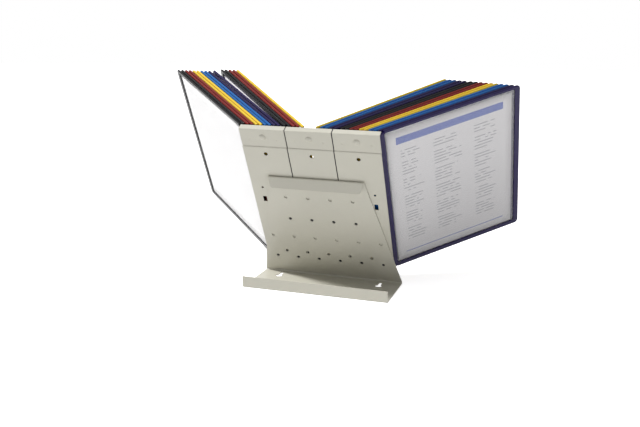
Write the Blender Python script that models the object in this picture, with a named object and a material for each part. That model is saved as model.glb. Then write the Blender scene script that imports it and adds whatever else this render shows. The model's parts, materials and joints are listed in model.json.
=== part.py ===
"""Desktop reference display: a bent steel stand, three hinge modules and thirty document panels.

The stand is one bent sheet: a front lip, a tray, a plate that leans back over the tray, and a flap
folded forward from its top. Three modules hang behind the plate. Each carries ten panels, which swing
on pegs between two pivot rails.
+X is to the right seen from behind the stand, +Y points to the reader, and the tray rests on Z = 0.
"""
import math

import bmesh
import bpy
from mathutils import Matrix, Vector

MM = 0.001

# Fits shared by all pieces
GAP = 0.3 * MM
CUT_OVERRUN = 1.2 * MM
BEND_STEPS = 4
FOLD_STEPS = 8
ROUND_STEPS = 10
PEG_STEPS = 8
DOME_RINGS = 4
SMOOTH_ANGLE = math.radians(40)

# Stand: one bent sheet
STAND_SHEET = 1.5 * MM
STAND_BEND = 2.0 * MM
LEAN = math.radians(29.5)
TRAY_OVERHANG = 11.5 * MM
TRAY_DEPTH = 121 * MM
FRONT_LIP_HEIGHT = 21.4 * MM
FRONT_LIP_SPLAY = math.radians(3.4)
PLATE_LENGTH = 239.5 * MM
PLATE_TOP_OVERHANG = 4 * MM
FLAP_LENGTH = 18.5 * MM
FLAP_FOLD = math.radians(150)
FLAP_BEND = 1.0 * MM
FLAP_CORNER = 5 * MM

# Holes in the plate: heights up the plate from the bend line
PLATE_HOLE_RADIUS = 3.3 * MM
HIGH_SPARE_ROW = 192.6 * MM
UPPER_SCREW_ROW = 140.6 * MM
LOW_SPARE_ROW = 96 * MM
CENTRE_ROW = 57.2 * MM
LOWER_SCREW_ROW = 42.6 * MM

# Keyhole slots in the tray, measured from the bend line
KEYHOLE_SPREAD = 196 * MM
KEYHOLE_SETBACK = 32 * MM
KEYHOLE_RADIUS = 6.5 * MM
KEYHOLE_NECK = 2.9 * MM
KEYHOLE_REACH = 21 * MM

# Hinge modules: pressed channels behind the plate
MODULE_COUNT = 3
MODULE_PITCH = 83 * MM
MODULE_JOINT = 1.8 * MM
MODULE_SHEET = 1.2 * MM
MODULE_BEND = 1.0 * MM
MODULE_BOTTOM = 26 * MM
MODULE_HEIGHT = 311.5 * MM
BAND_HEIGHT = 36 * MM
BAND_STEP = 1.6 * MM
BAND_STEP_RUN = 1.2 * MM
FLANGE_DEPTH = 11.4 * MM

# Pressed and punched features of a module: drops from its top edge, heights from its bottom edge
DOME_DROP = 16.1 * MM
DOME_RADIUS = 6.2 * MM
DOME_HEIGHT = 3.2 * MM
WELD_MARK_DROP = 21.3 * MM
WELD_MARK_SPREAD = 50 * MM
WELD_MARK_RADIUS = 2.0 * MM
WELD_MARK_DEPTH = 0.4 * MM
HANGER_HOLE_DROP = 50.9 * MM
HANGER_HOLE_RADIUS = 3.6 * MM
SLOT_HEIGHT = 157 * MM
SLOT_WIDTH = 7 * MM
SLOT_LENGTH = 12.5 * MM
PILOT_RISE = 26.8 * MM
PILOT_RADIUS = 2.2 * MM

# Pivot rails: pierced angles behind each module's bands
RAIL_SHEET = 1.0 * MM
RAIL_BEND = 1.0 * MM
RAIL_END_INSET = 1.0 * MM
RAIL_WEB = 25.5 * MM
RAIL_MARGIN = 0.6 * MM
RAIL_WINDOW_RADIUS = 9 * MM
PEG_PLAY = 0.4 * MM

# Module screws, driven from inside the modules into the plate; the lower ones also hold a pivot rail
SCREW_RADIUS = 2.7 * MM
SCREW_PLAY = 0.4 * MM
SCREW_HEAD_RADIUS = 4.6 * MM
SCREW_HEAD_HEIGHT = 1.8 * MM
SCREW_RECESS = 0.8 * MM

# Panels
PANELS_PER_MODULE = 10
PEG_MARGIN = 4.15 * MM
PANEL_WIDTH = 261 * MM
PANEL_RISE = 1.0 * MM
PANEL_LIFT = 2.2 * MM
FRAME_PLAY = 0.6 * MM
FRAME_CHAMFER = 1.6 * MM
TOP_BAR = 5.5 * MM
SIDE_BAR = 10.5 * MM
BOTTOM_BAR = 10 * MM
SPINE_BAR = 11.8 * MM
FRAME_CORNER = 8 * MM
SPINE_CORNER = 2.0 * MM
WINDOW_CORNER = 2 * MM
SPINE_OVERHANG = 2.4 * MM
HINGE_CLEARANCE = 7 * MM
PEG_RADIUS = 1.4 * MM
SWING_PLAY = 0.3 * MM
END_PLAY = 0.6 * MM
FILM = 0.2 * MM
PAPER = 0.2 * MM
PAPER_SIDE_MARGIN = 5.5 * MM
PAPER_SPINE_MARGIN = 3 * MM
PAPER_TOP_MARGIN = 5 * MM
SLEEVE_SEAM = 1.5 * MM

# How far the panels lean out from square to the plate, at rest; on the right they spread evenly
LEFT_OUTER_ANGLE = math.radians(49.2)
LEFT_LAST_ANGLE = math.radians(48.7)
LEFT_INNER_ANGLE = math.radians(47.4)
RIGHT_INNER_ANGLE = math.radians(50.2)
RIGHT_OUTER_ANGLE = math.radians(53.5)
SHEETED_PANELS = (1, 15, 16, 30)

# Places that follow from the sizes above
BEND_LINE_Y = TRAY_DEPTH / 2
MODULE_WIDTH = MODULE_PITCH - MODULE_JOINT
TRAY_WIDTH = MODULE_COUNT * MODULE_PITCH + 2 * TRAY_OVERHANG
PLATE_TOP_WIDTH = (MODULE_COUNT - 1) * MODULE_PITCH + 2 * PLATE_TOP_OVERHANG
MODULE_TOP = MODULE_BOTTOM + MODULE_HEIGHT
MIDDLE_FRONT = STAND_SHEET + GAP
MIDDLE_BACK = MIDDLE_FRONT + MODULE_SHEET
BAND_FRONT = MIDDLE_FRONT + BAND_STEP
BAND_BACK = BAND_FRONT + MODULE_SHEET
FLANGE_EDGE = BAND_FRONT + FLANGE_DEPTH
HINGE_DEPTH = BAND_BACK + HINGE_CLEARANCE
RAIL_TOP = MODULE_TOP - MODULE_SHEET - GAP
RAIL_BOTTOM = MODULE_BOTTOM + MODULE_SHEET + GAP
RAIL_FRONT = BAND_BACK + GAP
RAIL_BACK = RAIL_FRONT + RAIL_SHEET
RAIL_EDGE = FLANGE_EDGE - RAIL_MARGIN
RAIL_MIDDLE = (RAIL_BOTTOM + RAIL_TOP) / 2
RAIL_HALF_SPAN = (RAIL_TOP - RAIL_BOTTOM) / 2
PANEL_TOP = MODULE_TOP + PANEL_RISE
PANEL_BOTTOM = MODULE_BOTTOM + PANEL_LIFT
NOTCH_TOP = RAIL_TOP - RAIL_SHEET - END_PLAY
NOTCH_BOTTOM = RAIL_BOTTOM + RAIL_SHEET + END_PLAY
PANEL_PITCH = (MODULE_WIDTH - 2 * PEG_MARGIN) / (PANELS_PER_MODULE - 1)
WIDEST_ANGLE = max(LEFT_OUTER_ANGLE, RIGHT_OUTER_ANGLE)
FRAME_THICKNESS = PANEL_PITCH * math.cos(WIDEST_ANGLE) - FRAME_PLAY
FLANGE_REACH = FLANGE_EDGE - HINGE_DEPTH + GAP
FRAME_REACH = FRAME_THICKNESS / 2 * math.sin(WIDEST_ANGLE)
NOTCH_LENGTH = (FLANGE_REACH + FRAME_REACH) / math.cos(WIDEST_ANGLE) + SWING_PLAY
COLUMN_OFFSET = MODULE_PITCH / 4
POCKET_THICKNESS = 2 * FILM + PAPER + 2 * GAP

# Colours as linear light, with roughness and metallic values
FINISHES = {
    "painted_steel": ((0.50, 0.48, 0.41), 0.5, 0.0),
    "black_steel": ((0.03, 0.03, 0.03), 0.4, 1.0),
    "frame_black": ((0.012, 0.012, 0.014), 0.4, 0.0),
    "frame_red": ((0.22, 0.02, 0.02), 0.4, 0.0),
    "frame_yellow": ((0.78, 0.48, 0.03), 0.4, 0.0),
    "frame_blue": ((0.03, 0.12, 0.36), 0.4, 0.0),
    "frame_violet": ((0.05, 0.04, 0.15), 0.4, 0.0),
    "clear_sleeve": ((0.80, 0.80, 0.82), 0.2, 0.0),
    "paper": ((0.80, 0.80, 0.80), 0.8, 0.0),
}
FRAME_COLOURS = ("black", "red", "yellow", "blue", "violet")


def clear_scene():
    """Remove every object that the file opened with."""
    for obj in list(bpy.data.objects):
        bpy.data.objects.remove(obj, do_unlink=True)


def make_materials():
    """One Principled material per finish."""
    materials = {}
    for name, (colour, roughness, metallic) in FINISHES.items():
        material = bpy.data.materials.new(name)
        material.use_nodes = True
        shader = material.node_tree.nodes["Principled BSDF"]
        shader.inputs["Base Color"].default_value = (*colour, 1)
        shader.inputs["Roughness"].default_value = roughness
        shader.inputs["Metallic"].default_value = metallic
        materials[name] = material
    return materials


def turned(vector, angle):
    """A flat vector turned counterclockwise."""
    cosine = math.cos(angle)
    sine = math.sin(angle)
    return Vector((vector.x * cosine - vector.y * sine, vector.x * sine + vector.y * cosine))


def left_of(vector):
    """The unit vector a quarter turn to the left of a flat vector."""
    return turned(vector.normalized(), math.pi / 2)


def corner_arc(before, corner, after, radius, steps):
    """Points of the arc that rounds a corner, each with the left-hand normal of the path there."""
    arriving = (corner - before).normalized()
    leaving = (after - corner).normalized()
    angle = math.atan2(arriving.x * leaving.y - arriving.y * leaving.x, arriving.dot(leaving))
    start = corner - arriving * radius * math.tan(abs(angle) / 2)
    centre = start + left_of(arriving) * math.copysign(radius, angle)
    arc = []
    for step in range(steps + 1):
        part = angle * step / steps
        arc.append((centre + turned(start - centre, part), turned(left_of(arriving), part)))
    return arc


def bent_path(corners, radii, last_steps=BEND_STEPS):
    """Stations along an open path with rounded corners: point and left-hand normal."""
    stations = [(corners[0], left_of(corners[1] - corners[0]))]
    counts = [BEND_STEPS] * (len(radii) - 1) + [last_steps]
    for before, corner, after, radius, steps in zip(corners, corners[1:], corners[2:], radii, counts):
        stations += corner_arc(before, corner, after, radius, steps)
    stations.append((corners[-1], left_of(corners[-1] - corners[-2])))
    return stations


def rounded_outline(corners, radii, steps):
    """Points of a closed outline with rounded corners."""
    outline = []
    for index, (corner, radius) in enumerate(zip(corners, radii)):
        before = corners[index - 1]
        after = corners[(index + 1) % len(corners)]
        if radius == 0:
            outline.append(corner)
        else:
            outline += [point for point, _ in corner_arc(before, corner, after, radius, steps)]
    return outline


def add_strip(solid, stations, half_widths, thickness):
    """A bent sheet: each station's cross line runs along X, and the sheet lies half to each side of it."""
    rings = []
    for (point, normal), half in zip(stations, half_widths):
        near = point + normal * thickness / 2
        far = point - normal * thickness / 2
        corners = ((-half, near), (half, near), (half, far), (-half, far))
        rings.append([solid.verts.new((x, place.x, place.y)) for x, place in corners])
    for ring, following in zip(rings, rings[1:]):
        for index in range(4):
            after = (index + 1) % 4
            solid.faces.new((ring[index], ring[after], following[after], following[index]))
    solid.faces.new(rings[0])
    solid.faces.new(rings[-1])


def add_loft(solid, outlines, along):
    """A closed solid through flat outlines; each is (place along the axis, points across it)."""
    rings = []
    for place, outline in outlines:
        if along == "y":
            ring = [solid.verts.new((point[0], place, point[1])) for point in outline]
        else:
            ring = [solid.verts.new((point[0], point[1], place)) for point in outline]
        rings.append(ring)
    count = len(rings[0])
    for ring, following in zip(rings, rings[1:]):
        for index in range(count):
            after = (index + 1) % count
            solid.faces.new((ring[index], ring[after], following[after], following[index]))
    solid.faces.new(rings[0])
    solid.faces.new(rings[-1])


def circle(centre, radius, steps):
    """Points of a circle across an axis."""
    angles = [math.tau * step / steps for step in range(steps)]
    return [(centre[0] + radius * math.cos(a), centre[1] + radius * math.sin(a)) for a in angles]


def add_round(solid, centre, profile, along, steps=ROUND_STEPS):
    """A turned solid; the profile lists (place along the axis, radius)."""
    add_loft(solid, [(place, circle(centre, radius, steps)) for place, radius in profile], along)


def add_box(solid, low, high):
    """A box between two corners."""
    outline = ((low[0], low[1]), (high[0], low[1]), (high[0], high[1]), (low[0], high[1]))
    add_loft(solid, [(low[2], outline), (high[2], outline)], "z")


def temporary_object(name, solid):
    """An object holding a finished solid, with its faces pointing out."""
    bmesh.ops.recalc_face_normals(solid, faces=solid.faces)
    mesh = bpy.data.meshes.new(name)
    solid.to_mesh(mesh)
    solid.free()
    obj = bpy.data.objects.new(name, mesh)
    bpy.context.collection.objects.link(obj)
    return obj


def finished_mesh(name, base, joined=None, cut=None):
    """The mesh of a base solid, with another joined to it and a third cut from it."""
    parts = [temporary_object(name, base)]
    for solid, operation in ((joined, "UNION"), (cut, "DIFFERENCE")):
        if solid is not None:
            tool = temporary_object(name + "_" + operation.lower(), solid)
            modifier = parts[0].modifiers.new(operation, "BOOLEAN")
            modifier.operation = operation
            modifier.object = tool
            parts.append(tool)
    graph = bpy.context.evaluated_depsgraph_get()
    mesh = bpy.data.meshes.new_from_object(parts[0].evaluated_get(graph))
    for part in parts:
        bpy.data.objects.remove(part, do_unlink=True)
    mesh.name = name
    mesh.shade_smooth()
    mesh.set_sharp_from_angle(angle=SMOOTH_ANGLE)
    return mesh


def place(name, mesh, material, parent=None):
    """An object of a mesh, which may be shared, with a material of its own."""
    obj = bpy.data.objects.new(name, mesh)
    bpy.context.collection.objects.link(obj)
    if not mesh.materials:
        mesh.materials.append(material)
    obj.material_slots[0].link = "OBJECT"
    obj.material_slots[0].material = material
    obj.parent = parent
    return obj


def make_axis(name, matrix, parent=None):
    """An empty that carries other pieces."""
    empty = bpy.data.objects.new(name, None)
    bpy.context.collection.objects.link(empty)
    empty.parent = parent
    empty.matrix_local = matrix
    return empty


def plate_axes():
    """The plate's own axes: X across, Y out behind the plate, Z up it from the bend line."""
    place_of_bend = Matrix.Translation((0, BEND_LINE_Y, STAND_SHEET))
    return place_of_bend @ Matrix.Rotation(LEAN, 4, "X")


def plate_point(height, depth):
    """World Y and Z of a point some way up the plate and some depth behind its front face."""
    point = plate_axes() @ Vector((0, depth, height))
    return Vector((point.y, point.z))


def stand_corners():
    """Corners of the sheet's middle surface, from the front lip to the flap's free edge."""
    half = STAND_SHEET / 2
    foot = Vector((half - TRAY_DEPTH / 2, half))
    lip_top = foot + turned(Vector((0, FRONT_LIP_HEIGHT - half)), FRONT_LIP_SPLAY)
    rise = (half * math.sin(LEAN) + half) / math.cos(LEAN)
    heel = plate_point(-rise, half)
    fold_radius = FLAP_BEND + half
    fold_reach = fold_radius * math.tan(FLAP_FOLD / 2)
    fold = plate_point(PLATE_LENGTH - fold_radius - half + fold_reach, half)
    flap_end = fold + turned(Vector((0, fold_reach + FLAP_LENGTH)), LEAN + FLAP_FOLD)
    return lip_top, foot, heel, fold, flap_end


def round_off_end(stations, half_widths):
    """Add stations at a strip's last end that round its two corners."""
    end, normal = stations.pop()
    half = half_widths.pop()
    back = (stations[-1][0] - end).normalized()
    for step in range(BEND_STEPS + 1):
        angle = math.pi / 2 * step / BEND_STEPS
        stations.append((end + back * FLAP_CORNER * (1 - math.sin(angle)), normal))
        half_widths.append(half - FLAP_CORNER * (1 - math.cos(angle)))


def stand_strip():
    """The bent sheet before its holes: straight sides at the tray, then a taper up to the flap's end."""
    middle_bend = STAND_BEND + STAND_SHEET / 2
    radii = (middle_bend, middle_bend, FLAP_BEND + STAND_SHEET / 2)
    stations = bent_path(stand_corners(), radii, FOLD_STEPS)
    heel_index = 1 + (BEND_STEPS + 1) + BEND_STEPS // 2
    taper = (TRAY_WIDTH - PLATE_TOP_WIDTH) / 2 / PLATE_LENGTH
    half_widths = []
    risen = 0
    for index, (point, _) in enumerate(stations):
        if index > heel_index:
            risen += (point - stations[index - 1][0]).length
        half_widths.append(TRAY_WIDTH / 2 - taper * risen)
    round_off_end(stations, half_widths)
    strip = bmesh.new()
    add_strip(strip, stations, half_widths, STAND_SHEET)
    return strip


def column_places():
    """X of the hole columns at the quarter points of each module."""
    places = []
    for module in range(MODULE_COUNT):
        places += [module_x(module) - COLUMN_OFFSET, module_x(module) + COLUMN_OFFSET]
    return places


def module_x(module):
    """X of a module's middle."""
    return (module - (MODULE_COUNT - 1) / 2) * MODULE_PITCH


def keyhole_outline(side):
    """Outline of a keyhole slot in the tray: a round mouth and a narrow neck towards the plate."""
    x = side * KEYHOLE_SPREAD / 2
    y = BEND_LINE_Y - KEYHOLE_SETBACK
    half_mouth = math.asin(KEYHOLE_NECK / KEYHOLE_RADIUS)
    start = math.pi / 2 + half_mouth
    sweep = math.tau - 2 * half_mouth
    angles = [start + sweep * step / ROUND_STEPS for step in range(ROUND_STEPS + 1)]
    outline = [(x + KEYHOLE_RADIUS * math.cos(a), y + KEYHOLE_RADIUS * math.sin(a)) for a in angles]
    neck_y = y + KEYHOLE_REACH - KEYHOLE_NECK
    for step in range(BEND_STEPS + 1):
        angle = math.pi * step / BEND_STEPS
        outline.append((x + KEYHOLE_NECK * math.cos(angle), neck_y + KEYHOLE_NECK * math.sin(angle)))
    return outline


def stand_cutters():
    """Everything punched from the stand: plate holes by row, and the tray's keyholes."""
    holes = bmesh.new()
    columns = column_places()
    joints = [(one + other) / 2 for one, other in zip(columns, columns[1:])]
    rows = (
        (HIGH_SPARE_ROW, columns[1:-1]),
        (UPPER_SCREW_ROW, columns[1:-1]),
        (LOW_SPARE_ROW, columns),
        (CENTRE_ROW, joints),
        (LOWER_SCREW_ROW, columns),
    )
    span = ((-CUT_OVERRUN, PLATE_HOLE_RADIUS), (STAND_SHEET + CUT_OVERRUN, PLATE_HOLE_RADIUS))
    for height, places in rows:
        for x in places:
            add_round(holes, (x, height), span, "y")
    holes.transform(plate_axes())
    for side in (-1, 1):
        outline = keyhole_outline(side)
        add_loft(holes, [(-CUT_OVERRUN, outline), (STAND_SHEET + CUT_OVERRUN, outline)], "z")
    return holes


def module_strip():
    """A module's pressed channel: flanges, bands set back at top and bottom, and a middle on the plate."""
    half = MODULE_SHEET / 2
    band = BAND_FRONT + half
    middle = MIDDLE_FRONT + half
    top = MODULE_TOP - half
    bottom = MODULE_BOTTOM + half
    step_top = MODULE_TOP - BAND_HEIGHT
    step_bottom = MODULE_BOTTOM + BAND_HEIGHT
    corners = [
        (FLANGE_EDGE, top), (band, top), (band, step_top), (middle, step_top - BAND_STEP_RUN),
        (middle, step_bottom + BAND_STEP_RUN), (band, step_bottom), (band, bottom), (FLANGE_EDGE, bottom),
    ]
    bend = MODULE_BEND + half
    stations = bent_path([Vector(corner) for corner in corners], (bend,) * (len(corners) - 2))
    strip = bmesh.new()
    add_strip(strip, stations, [MODULE_WIDTH / 2] * len(stations), MODULE_SHEET)
    return strip


def cone_through(face, radius, floor, floor_radius, overrun):
    """Profile of a cone from past a face, where it has the given radius, to its floor behind the face."""
    slope = (radius - floor_radius) / (floor - face)
    return (face - overrun, radius + slope * overrun), (floor, floor_radius)


def dome(face, radius, overrun):
    """Profile of a low dome that stands out in front of a face, from behind the face to its flat crown."""
    sphere = (radius ** 2 + DOME_HEIGHT ** 2) / (2 * DOME_HEIGHT)
    base = math.asin(radius / sphere)
    rings = []
    for step in range(DOME_RINGS):
        angle = base * (1 - step / DOME_RINGS)
        rings.append((face - sphere * (math.cos(angle) - math.cos(base)), sphere * math.sin(angle)))
    slope = (rings[0][1] - rings[1][1]) / (rings[0][0] - rings[1][0])
    rings[0] = (face + overrun, radius + slope * overrun)
    return rings


def module_dome():
    """The dome in a module's top band."""
    bump = bmesh.new()
    profile = dome(BAND_FRONT, DOME_RADIUS, MODULE_SHEET / 2)
    add_round(bump, (0, MODULE_TOP - DOME_DROP), profile, "y")
    return bump


def module_cutters():
    """Everything pressed or punched in a module's face."""
    holes = bmesh.new()
    outside = MIDDLE_FRONT - CUT_OVERRUN
    inside = BAND_BACK + CUT_OVERRUN
    hollow = dome(BAND_BACK, DOME_RADIUS - MODULE_SHEET / 2, CUT_OVERRUN)
    add_round(holes, (0, MODULE_TOP - DOME_DROP), hollow, "y")
    mark_floor = BAND_FRONT + WELD_MARK_DEPTH
    mark = cone_through(BAND_FRONT, WELD_MARK_RADIUS, mark_floor, WELD_MARK_RADIUS / 2, CUT_OVERRUN)
    screw_radius = SCREW_RADIUS + SCREW_PLAY
    centre_holes = ((MODULE_TOP - HANGER_HOLE_DROP, HANGER_HOLE_RADIUS), (CENTRE_ROW, PLATE_HOLE_RADIUS))
    for height, radius in centre_holes:
        add_round(holes, (0, height), ((outside, radius), (inside, radius)), "y")
    side_holes = (
        (MODULE_BOTTOM + SLOT_HEIGHT + PILOT_RISE, PILOT_RADIUS),
        (UPPER_SCREW_ROW, screw_radius),
        (LOWER_SCREW_ROW, screw_radius),
    )
    slot_low = MODULE_BOTTOM + SLOT_HEIGHT - SLOT_LENGTH / 2
    for side in (-1, 1):
        add_round(holes, (side * WELD_MARK_SPREAD / 2, MODULE_TOP - WELD_MARK_DROP), mark, "y")
        for height, radius in side_holes:
            add_round(holes, (side * COLUMN_OFFSET, height), ((outside, radius), (inside, radius)), "y")
        left = side * COLUMN_OFFSET - SLOT_WIDTH / 2
        add_box(holes, (left, outside, slot_low), (left + SLOT_WIDTH, inside, slot_low + SLOT_LENGTH))
    return holes


def panel_places():
    """X of a module's hinge axes, from its middle."""
    first = -(PANELS_PER_MODULE - 1) / 2 * PANEL_PITCH
    return [first + index * PANEL_PITCH for index in range(PANELS_PER_MODULE)]


def rail_strip():
    """A pivot rail: a flange that carries the pegs and a web behind the band, about the rail's middle."""
    half = RAIL_SHEET / 2
    front = RAIL_FRONT + half
    top = RAIL_HALF_SPAN - half
    corners = [Vector(corner) for corner in ((RAIL_EDGE, top), (front, top), (front, top - RAIL_WEB))]
    stations = bent_path(corners, (RAIL_BEND + half,))
    strip = bmesh.new()
    half_width = MODULE_WIDTH / 2 - RAIL_END_INSET
    add_strip(strip, stations, [half_width] * len(stations), RAIL_SHEET)
    return strip


def rail_cutters():
    """Peg holes in the flange; screw holes and a window in the web, behind the module's dome."""
    holes = bmesh.new()
    top = RAIL_HALF_SPAN
    radius = PEG_RADIUS + PEG_PLAY
    span = ((top - RAIL_SHEET - CUT_OVERRUN, radius), (top + CUT_OVERRUN, radius))
    for x in panel_places():
        add_round(holes, (x, HINGE_DEPTH), span, "z", PEG_STEPS)
    window_height = MODULE_TOP - DOME_DROP - RAIL_MIDDLE
    screw_height = RAIL_MIDDLE - LOWER_SCREW_ROW
    screw_radius = SCREW_RADIUS + SCREW_PLAY
    near = RAIL_FRONT - CUT_OVERRUN
    far = RAIL_BACK + CUT_OVERRUN
    web_holes = (
        (0, window_height, RAIL_WINDOW_RADIUS),
        (-COLUMN_OFFSET, screw_height, screw_radius),
        (COLUMN_OFFSET, screw_height, screw_radius),
    )
    for x, height, radius in web_holes:
        add_round(holes, (x, height), ((near, radius), (far, radius)), "y")
    return holes


def screw_places():
    """X, height and seat of each module screw; the lower ones sit on the pivot rails."""
    columns = column_places()
    upper = [(x, UPPER_SCREW_ROW, MIDDLE_BACK + GAP) for x in columns[1:-1]]
    lower = [(x, LOWER_SCREW_ROW, RAIL_BACK + GAP) for x in columns]
    return upper + lower


def screw_solid(seat):
    """A module screw: a low head inside the module, and a shank that ends just below the plate's face."""
    profile = (
        (SCREW_RECESS, SCREW_RADIUS),
        (seat, SCREW_RADIUS),
        (seat, SCREW_HEAD_RADIUS),
        (seat + SCREW_HEAD_HEIGHT, SCREW_HEAD_RADIUS),
    )
    screw = bmesh.new()
    add_round(screw, (0, 0), profile, "y")
    return screw


def frame_outline(inset):
    """Outline of a panel frame, notched at the spine's ends to clear the rails, drawn in by an inset."""
    left = inset - SPINE_OVERHANG
    right = PANEL_WIDTH - inset
    top = PANEL_TOP - inset
    bottom = PANEL_BOTTOM + inset
    notch_top = NOTCH_TOP - inset
    notch_bottom = NOTCH_BOTTOM + inset
    notch_end = NOTCH_LENGTH + inset
    corners = (
        (left, notch_bottom), (notch_end, notch_bottom), (notch_end, bottom), (right, bottom),
        (right, top), (notch_end, top), (notch_end, notch_top), (left, notch_top),
    )
    free_corner = FRAME_CORNER - inset
    spine_corner = SPINE_CORNER - inset
    radii = (spine_corner, 0, 0, free_corner, free_corner, 0, 0, spine_corner)
    return rounded_outline([Vector(corner) for corner in corners], radii, BEND_STEPS)


def frame_blank():
    """A panel frame's outer shape, with its outer edges chamfered."""
    half = FRAME_THICKNESS / 2
    shoulder = half - FRAME_CHAMFER
    outer = frame_outline(0)
    inner = frame_outline(FRAME_CHAMFER)
    blank = bmesh.new()
    add_loft(blank, [(-half, inner), (-shoulder, outer), (shoulder, outer), (half, inner)], "y")
    return blank


def window_box():
    """Left, right, bottom and top of the opening in a panel's frame."""
    left = SPINE_BAR - SPINE_OVERHANG
    right = PANEL_WIDTH - SIDE_BAR
    return left, right, PANEL_BOTTOM + BOTTOM_BAR, PANEL_TOP - TOP_BAR


def window_outline(margin):
    """Outline of a frame's opening, or of what stands in it with a margin all round."""
    left, right, bottom, top = window_box()
    corners = (
        (left + margin, bottom + margin), (right - margin, bottom + margin),
        (right - margin, top - margin), (left + margin, top - margin),
    )
    return rounded_outline([Vector(corner) for corner in corners], (WINDOW_CORNER,) * 4, 1)


def window_cutter(spans):
    """A cutter with the outline of a frame's opening, over each span of depths."""
    outline = window_outline(0)
    cutter = bmesh.new()
    for near, far in spans:
        add_loft(cutter, [(near, outline), (far, outline)], "y")
    return cutter


def frame_window():
    """The cutter for a frame whose sleeve is a piece of its own."""
    reach = FRAME_THICKNESS / 2 + CUT_OVERRUN
    return window_cutter([(-reach, reach)])


def pocket_recesses():
    """The cutters beside a filled sleeve, which is one piece with its frame."""
    reach = FRAME_THICKNESS / 2 + CUT_OVERRUN
    face = POCKET_THICKNESS / 2
    return window_cutter([(-reach, -face), (face, reach)])


def frame_pegs():
    """The two pegs on a panel's hinge axis, rooted in the frame and flush with the rails' outer faces."""
    root = FRAME_THICKNESS / 2
    pegs = bmesh.new()
    for low, high in ((RAIL_BOTTOM, NOTCH_BOTTOM + root), (NOTCH_TOP - root, RAIL_TOP)):
        add_round(pegs, (0, 0), ((low, PEG_RADIUS), (high, PEG_RADIUS)), "z", PEG_STEPS)
    return pegs


def sleeve_blank():
    """A sleeve's outer shape, just inside its frame's opening."""
    outline = window_outline(GAP)
    half = POCKET_THICKNESS / 2
    blank = bmesh.new()
    add_loft(blank, [(-half, outline), (half, outline)], "y")
    return blank


def sleeve_pocket():
    """The cutter for the space inside a sleeve, which is open at the top."""
    left, right, bottom, top = window_box()
    seam = GAP + SLEEVE_SEAM
    half = POCKET_THICKNESS / 2 - FILM
    pocket = bmesh.new()
    add_box(pocket, (left + seam, -half, bottom + seam), (right - seam, half, top + CUT_OVERRUN))
    return pocket


def sheet_solid():
    """A printed sheet standing in the bottom of its sleeve."""
    left, right, bottom, top = window_box()
    half = PAPER / 2
    low = (left + PAPER_SPINE_MARGIN, -half, bottom + GAP + SLEEVE_SEAM + GAP)
    high = (right - PAPER_SIDE_MARGIN, half, top - PAPER_TOP_MARGIN)
    sheet = bmesh.new()
    add_box(sheet, low, high)
    return sheet


def rest_angle(number):
    """How far a panel stands out from square to the plate: negative to the left, positive to the right."""
    panel_count = MODULE_COUNT * PANELS_PER_MODULE
    first_right = panel_count // 2 + 1
    if number < PANELS_PER_MODULE:
        return -LEFT_OUTER_ANGLE
    if number == PANELS_PER_MODULE:
        return -LEFT_LAST_ANGLE
    if number < first_right:
        return -LEFT_INNER_ANGLE
    spread_share = (number - first_right) / (panel_count - first_right)
    return RIGHT_INNER_ANGLE + (RIGHT_OUTER_ANGLE - RIGHT_INNER_ANGLE) * spread_share


def panel_axes(number):
    """A panel's own axes on its hinge: X out along the panel, Z up the hinge axis from the bend line."""
    module, index = divmod(number - 1, PANELS_PER_MODULE)
    x = module_x(module) + panel_places()[index]
    hinge = Matrix.Translation((x, HINGE_DEPTH, 0))
    return hinge @ Matrix.Rotation(math.pi / 2 - rest_angle(number), 4, "Z")


def frame_finish(number):
    """Colour of a panel's frame: each colour runs for two panels, and a module shows all five."""
    index = (number - 1) % PANELS_PER_MODULE // 2
    return "frame_" + FRAME_COLOURS[index]


def build_stand(materials):
    mesh = finished_mesh("stand_frame", stand_strip(), cut=stand_cutters())
    place("stand_frame", mesh, materials["painted_steel"])


def build_modules(materials, plate):
    """The modules with their pivot rails, and the screws that hold them."""
    module_mesh = finished_mesh("hinge_module", module_strip(), module_dome(), module_cutters())
    rail_mesh = finished_mesh("pivot_rail", rail_strip(), cut=rail_cutters())
    for module, side in enumerate(("left", "middle", "right")):
        obj = place("hinge_module_" + side, module_mesh, materials["painted_steel"], plate)
        obj.location.x = module_x(module)
        for end, turn in (("top", 0), ("bottom", math.pi)):
            rail = place("pivot_rail_" + end + "_" + side, rail_mesh, materials["painted_steel"], plate)
            rail.location = (module_x(module), 0, RAIL_MIDDLE)
            rail.rotation_euler.y = turn
    for index, (x, height, seat) in enumerate(screw_places()):
        screw_mesh = finished_mesh("module_screw", screw_solid(seat))
        screw = place("module_screw_%02d" % (index + 1), screw_mesh, materials["black_steel"], plate)
        screw.location = (x, 0, height)


def build_panels(materials, plate):
    """Thirty panels; the four that show a face have their sleeve and sheet as pieces of their own."""
    open_frame = finished_mesh("panel_frame", frame_blank(), frame_pegs(), frame_window())
    filled_frame = finished_mesh("filled_panel", frame_blank(), frame_pegs(), pocket_recesses())
    sleeve = finished_mesh("sleeve", sleeve_blank(), cut=sleeve_pocket())
    sheet = finished_mesh("sheet", sheet_solid())
    for number in range(1, MODULE_COUNT * PANELS_PER_MODULE + 1):
        axis = make_axis("hinge_%02d" % number, panel_axes(number), plate)
        finish = materials[frame_finish(number)]
        if number in SHEETED_PANELS:
            place("panel_%02d" % number, open_frame, finish, axis)
            place("sleeve_%02d" % number, sleeve, materials["clear_sleeve"], axis)
            place("sheet_%02d" % number, sheet, materials["paper"], axis)
        else:
            place("panel_%02d" % number, filled_frame, finish, axis)


def main():
    clear_scene()
    materials = make_materials()
    build_stand(materials)
    plate = make_axis("plate_axis", plate_axes())
    build_modules(materials, plate)
    build_panels(materials, plate)


main()
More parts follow.
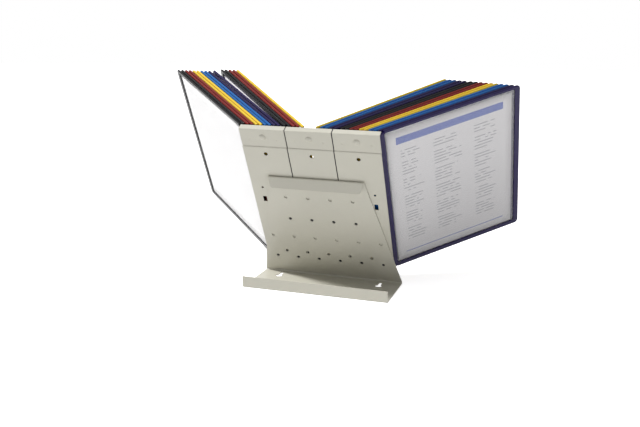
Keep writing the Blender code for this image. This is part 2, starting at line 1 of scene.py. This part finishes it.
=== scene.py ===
"""Looks of the desktop reference display: finishes, printed pages, lights and the photograph's camera.

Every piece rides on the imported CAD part. Lengths are in metres, angles in degrees until they are used.
"""
import json
import math

import bmesh
import bpy
from mathutils import Matrix, Vector

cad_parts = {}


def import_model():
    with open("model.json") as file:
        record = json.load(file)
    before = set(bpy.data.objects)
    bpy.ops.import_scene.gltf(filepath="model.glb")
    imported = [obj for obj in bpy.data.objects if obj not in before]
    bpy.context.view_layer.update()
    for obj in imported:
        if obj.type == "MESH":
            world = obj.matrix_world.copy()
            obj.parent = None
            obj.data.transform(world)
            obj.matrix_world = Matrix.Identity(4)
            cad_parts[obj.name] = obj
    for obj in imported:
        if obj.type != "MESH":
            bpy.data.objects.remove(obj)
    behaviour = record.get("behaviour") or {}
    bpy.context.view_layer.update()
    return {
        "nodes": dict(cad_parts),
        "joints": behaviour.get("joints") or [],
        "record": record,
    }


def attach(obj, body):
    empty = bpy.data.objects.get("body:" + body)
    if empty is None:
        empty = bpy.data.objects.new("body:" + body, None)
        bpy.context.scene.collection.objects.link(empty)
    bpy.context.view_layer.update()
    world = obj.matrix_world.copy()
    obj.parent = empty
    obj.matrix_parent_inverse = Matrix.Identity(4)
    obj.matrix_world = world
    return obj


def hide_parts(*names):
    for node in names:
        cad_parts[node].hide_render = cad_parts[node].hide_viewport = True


MM = 0.001

# Camera, fitted to the photograph
IMAGE_WIDTH_PX = 640
FOCAL_LENGTH_PX = 835.4
SENSOR_WIDTH_MM = 36
CAMERA_PLACE = Vector((439.0, -1414.9, 467.6)) * MM
CAMERA_AZIMUTH = 17.54
CAMERA_ELEVATION = 12.6
CAMERA_ROLL = 0.79
CLIP_NEAR = 50 * MM
CLIP_FAR = 60000 * MM

# Rounded edges added to the CAD nodes
WELD_DISTANCE = 0.005 * MM
EDGE_ANGLE = 30
SHEET_EDGE_ROUND = 0.25 * MM
FRAME_EDGE_ROUND = 0.5 * MM
EDGE_SEGMENTS = 2
FRAME_SEGMENTS = 3

# Colours as linear light
STEEL_COLOUR = (0.51, 0.495, 0.425)
SCREW_COLOUR = (0.030, 0.030, 0.031)
FILM_COLOUR = (0.80, 0.80, 0.82)
# Painted shade: the dark colour on a filled sleeve's margin beside its page stands for the shaded panel
# behind, seen through the clear film
PAINTED_SEE_THROUGH_SHADE = (0.16, 0.15, 0.20)
PLAIN_PAPER = (0.88, 0.875, 0.87)
PAPER_COLOUR = (0.74, 0.725, 0.73)
INK_COLOUR = (0.32, 0.32, 0.35)
BAND_COLOUR = (0.10, 0.15, 0.46)
FLOOR_COLOUR = (0.88, 0.88, 0.88)
WHITE = (1, 1, 1, 1)
FRAME_COLOURS = {
    "frame_black": (0.006, 0.006, 0.007),
    "frame_red": (0.19, 0.016, 0.013),
    "frame_yellow": (0.74, 0.52, 0.045),
    "frame_blue": (0.015, 0.115, 0.36),
    "frame_violet": (0.014, 0.008, 0.062),
}

# Finishes: roughness, specular level, share by which the colour varies, and relief
USUAL_SPECULAR = 0.5
STEEL_GLOSS = (0.34, 0.46)
STEEL_SPREAD = 0.025
PEEL_STRENGTH = 0.12
PEEL_DEPTH = 0.2 * MM
SCREW_ROUGHNESS = 0.4
SCREW_METALLIC = 0.6
SCREW_SPREAD = 0.2
GRIT_STRENGTH = 0.2
GRIT_DEPTH = 0.05 * MM
PLASTIC_GLOSS = (0.22, 0.28)
PLASTIC_SPECULAR = 0.22
PLASTIC_SPREAD = 0.05
PLASTIC_STRENGTH = 0.03
PLASTIC_DEPTH = 0.1 * MM
FILM_ROUGHNESS = 0.15
FILM_SPECULAR = 0.8
FILM_SPREAD = 0.02
FILM_ALPHA = 0.12
WAVE_STRENGTH = 0.1
WAVE_DEPTH = 0.6 * MM
FILLED_ROUGHNESS = 0.3
PAPER_ROUGHNESS = 0.85
PAPER_SPECULAR = 0.2
PAPER_SPREAD = 0.01
FIBRE_STRENGTH = 0.04
FIBRE_DEPTH = 0.05 * MM
FLOOR_ROUGHNESS = 0.9
FLOOR_SPECULAR = 0.1
FLOOR_SPREAD = 0.01

# Noise: how many cells a metre, its layers, and the part of its range that is stretched
LOW_TONE = 0.3
HIGH_TONE = 0.7
FINE_LAYERS = 3.0
PLAIN_LAYERS = 2.0
SMOOTH_LAYERS = 1.0
LAYER_SHARE = 0.55
FLOOR_CELLS = 3
COAT_CELLS = 9
HAZE_CELLS = 12
FILM_CELLS = 18
PLASTIC_CELLS = 25
PAPER_CELLS = 40
GLOSS_CELLS = 60
OXIDE_CELLS = 300
FIBRE_CELLS = 700
PEEL_CELLS = 1500
GRIT_CELLS = 2500

# Printed sheets, in shares of the page from its spine edge and its foot
PAGE_UV = "page"
WHOLE_PAGE = (0.0, 1.0)
BAND_SPAN = (0.07, 0.93)
BAND_RISE = (0.905, 0.955)
RULE_RISE = (0.052, 0.058)
STROKE_ROWS = 34
STROKE_RISE = (0.12, 0.86)
STROKE_SHARE = 0.26
COLUMNS = ((0.10, 0.27), (0.36, 0.60), (0.69, 0.88))
GROUP_ROWS = 6
SHORTEST_LINE = 0.55
WORDS_ACROSS = 46
SPACE_SHARE = 0.18
PAPER_BOW = 0.18 * MM
PAPER_STEPS = 16

# Filled sleeves of the inner panels, lying in the recesses of their frames
LINER_LIFT = 0.05 * MM
LINER_THICKNESS = 0.25 * MM

# Room
ROOM_RADIUS = 9000 * MM
WORLD_LIGHT = 0.35
ROOM_SIDES = 64
FLOOR_GLOW = 0.75
SUN_AZIMUTH = -75
SUN_ELEVATION = 50
SUN_STRENGTH = 3.9
SUN_SIZE = 8


def new_material(name, roughness, specular=USUAL_SPECULAR):
    """A Principled material, with its node tree and its shader."""
    material = bpy.data.materials.new(name)
    material.use_nodes = True
    shader = material.node_tree.nodes["Principled BSDF"]
    shader.inputs["Roughness"].default_value = roughness
    shader.inputs["Specular IOR Level"].default_value = specular
    return material, material.node_tree, shader


def add_node(tree, kind, **settings):
    """A shader node with its own settings."""
    node = tree.nodes.new("ShaderNode" + kind)
    for key, value in settings.items():
        setattr(node, key, value)
    return node


def noise(tree, scale, detail=FINE_LAYERS):
    """Noise over the part's own metres."""
    place = add_node(tree, "TexCoord")
    texture = add_node(tree, "TexNoise")
    texture.inputs["Scale"].default_value = scale
    texture.inputs["Detail"].default_value = detail
    texture.inputs["Roughness"].default_value = LAYER_SHARE
    tree.links.new(place.outputs["Object"], texture.inputs["Vector"])
    return texture.outputs["Fac"]


def ramp(tree, factor, stops):
    """A colour ramp over a factor, from stops of a place and a colour."""
    node = add_node(tree, "ValToRGB")
    elements = node.color_ramp.elements
    while len(elements) < len(stops):
        elements.new(0.5)
    for element, (place, colour) in zip(elements, stops):
        element.position = place
        element.color = (*colour, 1)
    tree.links.new(factor, node.inputs["Fac"])
    return node.outputs["Color"]


def value_range(tree, factor, low, high, source=(LOW_TONE, HIGH_TONE)):
    """A factor stretched to run from low to high."""
    node = add_node(tree, "MapRange")
    for key, value in zip(("From Min", "From Max", "To Min", "To Max"), (*source, low, high)):
        node.inputs[key].default_value = value
    tree.links.new(factor, node.inputs["Value"])
    return node.outputs["Result"]


def bump(tree, shader, height, strength, distance):
    """Relief of a surface from a height."""
    node = add_node(tree, "Bump")
    node.inputs["Strength"].default_value = strength
    node.inputs["Distance"].default_value = distance
    tree.links.new(height, node.inputs["Height"])
    tree.links.new(node.outputs["Normal"], shader.inputs["Normal"])


def scaled(colour, share):
    """A colour made lighter or darker."""
    return tuple(min(1.0, channel * share) for channel in colour)


def mottled(tree, shader, colour, scale, spread):
    """A base colour that varies a little over the surface."""
    tone = noise(tree, scale)
    stops = ((LOW_TONE, scaled(colour, 1 - spread)), (HIGH_TONE, scaled(colour, 1 + spread)))
    tree.links.new(ramp(tree, tone, stops), shader.inputs["Base Color"])


def uneven_gloss(tree, shader, span):
    """Roughness that varies over the surface between two values."""
    gloss = value_range(tree, noise(tree, GLOSS_CELLS), *span)
    tree.links.new(gloss, shader.inputs["Roughness"])


def painted_steel():
    """Warm light grey powder coat with a fine orange peel."""
    material, tree, shader = new_material("painted_steel", STEEL_GLOSS[1])
    mottled(tree, shader, STEEL_COLOUR, COAT_CELLS, STEEL_SPREAD)
    uneven_gloss(tree, shader, STEEL_GLOSS)
    bump(tree, shader, noise(tree, PEEL_CELLS, PLAIN_LAYERS), PEEL_STRENGTH, PEEL_DEPTH)
    return material


def black_steel():
    """Black oxide on the screws."""
    material, tree, shader = new_material("black_steel", SCREW_ROUGHNESS)
    shader.inputs["Metallic"].default_value = SCREW_METALLIC
    mottled(tree, shader, SCREW_COLOUR, OXIDE_CELLS, SCREW_SPREAD)
    bump(tree, shader, noise(tree, GRIT_CELLS, PLAIN_LAYERS), GRIT_STRENGTH, GRIT_DEPTH)
    return material


def frame_plastic(name, colour):
    """Glossy moulded plastic, faintly uneven."""
    material, tree, shader = new_material(name, PLASTIC_GLOSS[1], PLASTIC_SPECULAR)
    mottled(tree, shader, colour, PLASTIC_CELLS, PLASTIC_SPREAD)
    uneven_gloss(tree, shader, PLASTIC_GLOSS)
    relief = noise(tree, FIBRE_CELLS, SMOOTH_LAYERS)
    bump(tree, shader, relief, PLASTIC_STRENGTH, PLASTIC_DEPTH)
    return material


def clear_sleeve():
    """Thin clear film, slightly hazy."""
    material, tree, shader = new_material("clear_sleeve", FILM_ROUGHNESS, FILM_SPECULAR)
    mottled(tree, shader, FILM_COLOUR, HAZE_CELLS, FILM_SPREAD)
    shader.inputs["Alpha"].default_value = FILM_ALPHA
    bump(tree, shader, noise(tree, COAT_CELLS, SMOOTH_LAYERS), WAVE_STRENGTH, WAVE_DEPTH)
    return material


def set_inputs(tree, node, values):
    """Give a node's first inputs their values, each a number or another node's socket."""
    for socket, value in zip(node.inputs, values):
        if isinstance(value, (int, float)):
            socket.default_value = value
        else:
            tree.links.new(value, socket)


def arithmetic(tree, operation, first, second=0.0):
    """One sum of two sockets or numbers."""
    node = add_node(tree, "Math", operation=operation)
    set_inputs(tree, node, (first, second))
    return node.outputs[0]


def between(tree, value, span):
    """1 where a value lies in a span."""
    above = arithmetic(tree, "GREATER_THAN", value, span[0])
    below = arithmetic(tree, "LESS_THAN", value, span[1])
    return arithmetic(tree, "MULTIPLY", above, below)


def random_by(tree, first, second):
    """A steady random number for a pair of whole numbers."""
    pair = add_node(tree, "CombineXYZ")
    set_inputs(tree, pair, (first, second))
    texture = add_node(tree, "TexWhiteNoise")
    tree.links.new(pair.outputs["Vector"], texture.inputs["Vector"])
    return texture.outputs["Value"]


def page_places(tree):
    """Share of the way across the page from the spine, and up it from the foot."""
    place = add_node(tree, "UVMap", uv_map=PAGE_UV)
    parts = add_node(tree, "SeparateXYZ")
    tree.links.new(place.outputs["UV"], parts.inputs["Vector"])
    return parts.outputs["X"], parts.outputs["Y"]


def stroke_mask(tree, across, rise):
    """Grey strokes that stand for lines of text, in columns, with every few rows left free."""
    row = arithmetic(tree, "MULTIPLY", rise, STROKE_ROWS / (STROKE_RISE[1] - STROKE_RISE[0]))
    number = arithmetic(tree, "FLOOR", row)
    inked = arithmetic(tree, "LESS_THAN", arithmetic(tree, "FRACT", row), STROKE_SHARE)
    kept = arithmetic(tree, "GREATER_THAN", arithmetic(tree, "MODULO", number, GROUP_ROWS), 0.5)
    inked = arithmetic(tree, "MULTIPLY", inked, kept)
    inked = arithmetic(tree, "MULTIPLY", inked, between(tree, rise, STROKE_RISE))
    mask = 0.0
    for index, (start, end) in enumerate(COLUMNS):
        chance = random_by(tree, number, float(index))
        length = value_range(tree, chance, SHORTEST_LINE, 1.0, (0.0, 1.0))
        limit = arithmetic(tree, "ADD", arithmetic(tree, "MULTIPLY", length, end - start), start)
        column = arithmetic(tree, "GREATER_THAN", across, start)
        column = arithmetic(tree, "MULTIPLY", column, arithmetic(tree, "LESS_THAN", across, limit))
        mask = arithmetic(tree, "MAXIMUM", mask, arithmetic(tree, "MULTIPLY", column, inked))
    word = arithmetic(tree, "FLOOR", arithmetic(tree, "MULTIPLY", across, WORDS_ACROSS))
    spaced = arithmetic(tree, "GREATER_THAN", random_by(tree, word, number), SPACE_SHARE)
    return arithmetic(tree, "MULTIPLY", mask, spaced)


def painted_over(tree, under, mask, colour):
    """A colour laid over another where a mask is 1."""
    mix = add_node(tree, "Mix", data_type="RGBA")
    tree.links.new(mask, mix.inputs["Factor"])
    if isinstance(under, tuple):
        mix.inputs["A"].default_value = (*under, 1)
    else:
        tree.links.new(under, mix.inputs["A"])
    mix.inputs["B"].default_value = (*colour, 1)
    return mix.outputs["Result"]


def inside(tree, across, rise, span, height):
    """1 inside a box on the page."""
    return arithmetic(tree, "MULTIPLY", between(tree, across, span), between(tree, rise, height))


def printed_colour(tree, across, rise):
    """The page's print: a coloured band at the head, a thin rule at the foot, and strokes between."""
    stops = ((LOW_TONE, scaled(PAPER_COLOUR, 1 - PAPER_SPREAD)), (HIGH_TONE, PAPER_COLOUR))
    tone = ramp(tree, noise(tree, PAPER_CELLS), stops)
    band = inside(tree, across, rise, BAND_SPAN, BAND_RISE)
    rule = inside(tree, across, rise, BAND_SPAN, RULE_RISE)
    tone = painted_over(tree, tone, stroke_mask(tree, across, rise), INK_COLOUR)
    tone = painted_over(tree, tone, band, BAND_COLOUR)
    return painted_over(tree, tone, rule, BAND_COLOUR)


def paper(name, printed):
    """White paper, matte, plain or printed."""
    material, tree, shader = new_material(name, PAPER_ROUGHNESS, PAPER_SPECULAR)
    if printed:
        across, rise = page_places(tree)
        tree.links.new(printed_colour(tree, across, rise), shader.inputs["Base Color"])
    else:
        mottled(tree, shader, PLAIN_PAPER, PAPER_CELLS, PAPER_SPREAD)
    bump(tree, shader, noise(tree, FIBRE_CELLS), FIBRE_STRENGTH, FIBRE_DEPTH)
    return material


def filled_sleeve():
    """A clear sleeve with its printed page inside, seen as one surface; beside the page, a painted shade
    stands for the shaded panel seen through the clear film.
    """
    material, tree, shader = new_material("filled_sleeve", FILLED_ROUGHNESS)
    across, rise = page_places(tree)
    page = inside(tree, across, rise, WHOLE_PAGE, WHOLE_PAGE)
    # Painted shade on the margin beside the page, for the shaded panel seen through the film
    painted_shade_margin = arithmetic(tree, "SUBTRACT", 1.0, page)
    colour = painted_over(tree, printed_colour(tree, across, rise), painted_shade_margin, PAINTED_SEE_THROUGH_SHADE)
    tree.links.new(colour, shader.inputs["Base Color"])
    bump(tree, shader, noise(tree, FILM_CELLS, PLAIN_LAYERS), WAVE_STRENGTH, WAVE_DEPTH)
    return material


def round_edges(obj, width, segments):
    """Round a CAD node's edges in the render; its mesh stays as it is."""
    weld = obj.modifiers.new("weld", "WELD")
    weld.merge_threshold = WELD_DISTANCE
    bevel = obj.modifiers.new("bevel", "BEVEL")
    bevel.width = width
    bevel.segments = segments
    bevel.limit_method = "ANGLE"
    bevel.angle_limit = math.radians(EDGE_ANGLE)
    bevel.harden_normals = True
    bevel.use_clamp_overlap = True


def dress_nodes(frame, materials):
    """Give every CAD node its finish, by the record's material slot."""
    slots = {row["node"]: row["material_slot"] for row in frame["record"]["subparts"]}
    for name, obj in frame["nodes"].items():
        slot = slots[name]
        if not obj.material_slots:
            obj.data.materials.append(materials[slot])
        for holder in obj.material_slots:
            holder.material = materials[slot]
        if slot == "painted_steel":
            round_edges(obj, SHEET_EDGE_ROUND, EDGE_SEGMENTS)
        elif slot.startswith("frame_"):
            round_edges(obj, FRAME_EDGE_ROUND, FRAME_SEGMENTS)


def panel_axes(joint, node):
    """A panel's own axes on its hinge: X out along the panel, Z up the hinge."""
    origin = Vector(joint["pos_m"])
    up = Vector(joint["axis"]).normalized()
    if up.z < 0:
        up.negate()
    corners = [vertex.co for vertex in node.data.vertices]
    out = sum(corners, Vector()) / len(corners) - origin
    out = (out - up * out.dot(up)).normalized()
    axes = Matrix((out, up.cross(out), up)).transposed().to_4x4()
    axes.translation = origin
    return axes


def local_box(axes, node):
    """Lowest and highest corner of a node in a panel's own axes."""
    inverse = axes.inverted()
    places = [inverse @ vertex.co for vertex in node.data.vertices]
    low = Vector([min(place[axis] for place in places) for axis in range(3)])
    high = Vector([max(place[axis] for place in places) for axis in range(3)])
    return low, high


def add_slab(shell, page, low, high, bow, steps, finishes):
    """A thin slab across a panel, bowed a little; finishes are its back, its front and its edge."""
    page_low, page_high = page
    uv = shell.loops.layers.uv[PAGE_UV]
    layers = []
    for depth in (low.y, high.y):
        rows = []
        for row in range(steps + 1):
            share = row / steps
            z = low.z + (high.z - low.z) * share
            line = []
            for column in range(steps + 1):
                part = column / steps
                lift = bow * math.sin(math.pi * part) * math.sin(math.pi * share)
                line.append(shell.verts.new((low.x + (high.x - low.x) * part, depth + lift, z)))
            rows.append(line)
        layers.append(rows)
    made = []
    for layer, finish in zip(layers, finishes):
        for row in range(steps):
            for column in range(steps):
                corners = (layer[row][column], layer[row][column + 1],
                           layer[row + 1][column + 1], layer[row + 1][column])
                made.append((shell.faces.new(corners), finish))
    rims = []
    for layer in layers:
        rim = layer[0][:-1] + [line[-1] for line in layer[:-1]]
        rim += list(reversed(layer[-1][1:])) + [line[0] for line in reversed(layer[1:])]
        rims.append(rim)
    near, far = rims
    for index in range(len(near)):
        after = (index + 1) % len(near)
        made.append((shell.faces.new((near[index], near[after], far[after], far[index])), finishes[2]))
    for face, finish in made:
        face.material_index = finish
        face.smooth = True
        for loop in face.loops:
            across = (loop.vert.co.x - page_low.x) / (page_high.x - page_low.x)
            rise = (loop.vert.co.z - page_low.z) / (page_high.z - page_low.z)
            loop[uv].uv = (across, rise)


def panel_piece(name, slabs, page, materials):
    """A mesh of thin slabs in a panel's own axes."""
    shell = bmesh.new()
    shell.loops.layers.uv.new(PAGE_UV)
    for low, high, bow, steps, finishes in slabs:
        add_slab(shell, page, low, high, bow, steps, finishes)
    bmesh.ops.recalc_face_normals(shell, faces=shell.faces)
    mesh = bpy.data.meshes.new(name)
    shell.to_mesh(mesh)
    shell.free()
    for material in materials:
        mesh.materials.append(material)
    return mesh


def place_piece(name, mesh, axes, body):
    """A piece on a panel, riding with it."""
    piece = bpy.data.objects.new(name, mesh)
    bpy.context.scene.collection.objects.link(piece)
    piece.matrix_world = axes
    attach(piece, body)
    return piece


def add_pages(frame, materials):
    """Printed sheets in the four open sleeves, and the filled sleeves of the inner panels."""
    nodes = frame["nodes"]
    joints = {joint["child"]: joint for joint in frame["joints"]}
    sheeted = sorted(name[len("sheet_"):] for name in nodes if name.startswith("sheet_"))
    model = sheeted[0]
    axes = panel_axes(joints["panel_" + model], nodes["panel_" + model])
    page = local_box(axes, nodes["sheet_" + model])
    film = local_box(axes, nodes["sleeve_" + model])

    sheet_finishes = (materials["paper"], materials["printed_paper"])
    both, single = [[(*page, PAPER_BOW, PAPER_STEPS, sides)] for sides in ((1, 1, 0), (1, 0, 0))]
    both_sides = panel_piece("printed_sheet", both, page, sheet_finishes)
    one_side = panel_piece("plain_backed_sheet", single, page, sheet_finishes)
    liners = []
    for side in (-1, 1):
        near = film[1].y + LINER_LIFT
        low, high = film[0].copy(), film[1].copy()
        low.y, high.y = sorted((side * near, side * (near + LINER_THICKNESS)))
        liners.append((low, high, 0.0, 1, (0, 0, 0)))
    liner = panel_piece("filled_sleeve", liners, page, (materials["filled_sleeve"],))

    for body, joint in joints.items():
        number = body[len("panel_"):]
        axes = panel_axes(joint, nodes[body])
        if number not in sheeted:
            place_piece("filled_sleeve_" + number, liner, axes, body)
            continue
        mesh = one_side if number == model else both_sides
        sheet = place_piece("printed_sheet_" + number, mesh, axes, body)
        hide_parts("sheet_" + number)


def outward(azimuth, elevation):
    """Direction from the part; azimuth 0 is in front of the tray, 90 at its right."""
    turn = math.radians(azimuth)
    rise = math.radians(elevation)
    level = math.cos(rise)
    return Vector((math.sin(turn) * level, -math.cos(turn) * level, math.sin(rise)))


def add_camera():
    """The photograph's camera."""
    back = outward(CAMERA_AZIMUTH, CAMERA_ELEVATION)
    data = bpy.data.cameras.new("camera")
    data.sensor_width = SENSOR_WIDTH_MM
    data.lens = SENSOR_WIDTH_MM * FOCAL_LENGTH_PX / IMAGE_WIDTH_PX
    data.clip_start = CLIP_NEAR
    data.clip_end = CLIP_FAR
    camera = bpy.data.objects.new("camera", data)
    turn = (-back).to_track_quat("-Z", "Y").to_matrix()
    roll = Matrix.Rotation(math.radians(CAMERA_ROLL), 3, "Z")
    camera.matrix_world = Matrix.Translation(CAMERA_PLACE) @ (turn @ roll).to_4x4()
    bpy.context.scene.collection.objects.link(camera)
    bpy.context.scene.camera = camera


def add_sun(name, azimuth, elevation, strength):
    """A soft sun."""
    away = outward(azimuth, elevation)
    data = bpy.data.lights.new(name, "SUN")
    data.energy = strength
    data.angle = math.radians(SUN_SIZE)
    sun = bpy.data.objects.new(name, data)
    sun.location = away
    sun.rotation_mode = "QUATERNION"
    sun.rotation_quaternion = (-away).to_track_quat("-Z", "Y")
    bpy.context.scene.collection.objects.link(sun)


def seen_as_backdrop(tree):
    """1 for what the camera sees, straight, in a gloss or through glass."""
    path = add_node(tree, "LightPath")
    seen = arithmetic(tree, "MAXIMUM", path.outputs["Is Camera Ray"], path.outputs["Is Glossy Ray"])
    return arithmetic(tree, "MAXIMUM", seen, path.outputs["Is Transmission Ray"])


def add_room():
    """A white floor under an even white sky."""
    world = bpy.data.worlds.new("world")
    world.use_nodes = True
    tree = world.node_tree
    light = tree.nodes["Background"]
    light.inputs["Color"].default_value = WHITE
    light.inputs["Strength"].default_value = WORLD_LIGHT
    seen = add_node(tree, "Background")
    seen.inputs["Color"].default_value = WHITE
    seen.inputs["Strength"].default_value = 1.0
    mix = add_node(tree, "MixShader")
    tree.links.new(seen_as_backdrop(tree), mix.inputs["Fac"])
    tree.links.new(light.outputs[0], mix.inputs[1])
    tree.links.new(seen.outputs[0], mix.inputs[2])
    tree.links.new(mix.outputs[0], tree.nodes["World Output"].inputs["Surface"])
    bpy.context.scene.world = world

    bpy.ops.mesh.primitive_circle_add(vertices=ROOM_SIDES, radius=ROOM_RADIUS, fill_type="NGON")
    floor = bpy.context.object
    floor.name = "floor"
    material, tree, shader = new_material("floor", FLOOR_ROUGHNESS, FLOOR_SPECULAR)
    mottled(tree, shader, FLOOR_COLOUR, FLOOR_CELLS, FLOOR_SPREAD)
    shader.inputs["Emission Color"].default_value = WHITE
    glow = arithmetic(tree, "MULTIPLY", seen_as_backdrop(tree), FLOOR_GLOW)
    tree.links.new(glow, shader.inputs["Emission Strength"])
    floor.data.materials.append(material)


def main():
    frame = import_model()
    materials = {"painted_steel": painted_steel(), "black_steel": black_steel(),
                 "clear_sleeve": clear_sleeve(), "filled_sleeve": filled_sleeve(),
                 "paper": paper("paper", False), "printed_paper": paper("printed_paper", True)}
    for name, colour in FRAME_COLOURS.items():
        materials[name] = frame_plastic(name, colour)
    dress_nodes(frame, materials)
    add_pages(frame, materials)
    add_room()
    add_sun("key", SUN_AZIMUTH, SUN_ELEVATION, SUN_STRENGTH)
    add_camera()
    bpy.context.scene.view_settings.view_transform = "Standard"


main()
